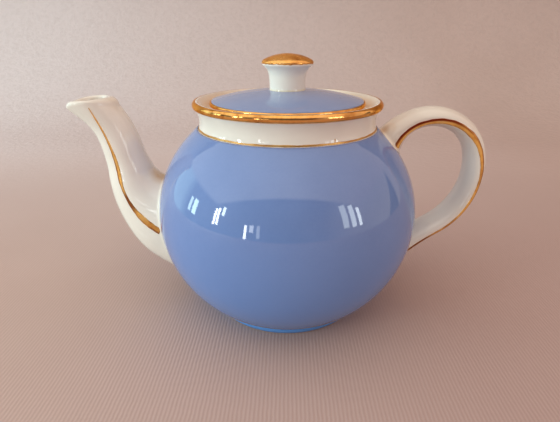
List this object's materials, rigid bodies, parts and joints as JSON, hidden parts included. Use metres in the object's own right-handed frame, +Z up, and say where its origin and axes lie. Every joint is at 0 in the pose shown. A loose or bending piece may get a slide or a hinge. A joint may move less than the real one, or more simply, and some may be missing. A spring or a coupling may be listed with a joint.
{
  "type": "teapot",
  "caption": "Round glazed ceramic teapot with a curved hollow spout over strainer holes, a loop handle and a lift-off domed lid with a flared knob and gilt lines.",
  "frame": {"origin": "centre of the foot ring, in the plane it stands on", "axes": "+Z up along the axis of the pot, +X towards the handle, -X towards the spout"},
  "size_m": [0.2364, 0.15, 0.1474],
  "materials": {
    "white_glaze": "glossy cream white glaze",
    "blue_glaze": "glossy cornflower blue ground under clear glaze",
    "bright_gold": "bright fired gilding"
  },
  "bodies": {
    "pot": {"pot_body": "white_glaze", "spout": "white_glaze", "handle": "white_glaze", "body_blue_glaze": "blue_glaze", "rim_gilt_band": "bright_gold", "shoulder_gilt_line": "bright_gold", "spout_gilt_stripe_front": "bright_gold", "spout_gilt_stripe_back": "bright_gold", "handle_gilt_stripe_front": "bright_gold", "handle_gilt_stripe_back": "bright_gold"},
    "lid": {"lid": "white_glaze", "lid_blue_glaze": "blue_glaze", "lid_knob": "white_glaze", "lid_gilt_line": "bright_gold", "knob_gilt_cap": "bright_gold"}
  },
  "joints": [
    {"name": "lid_lift", "type": "slide", "parent": "pot", "child": "lid", "axis": [0, 0, 1], "range_m": [0, 0.06]}
  ]
}
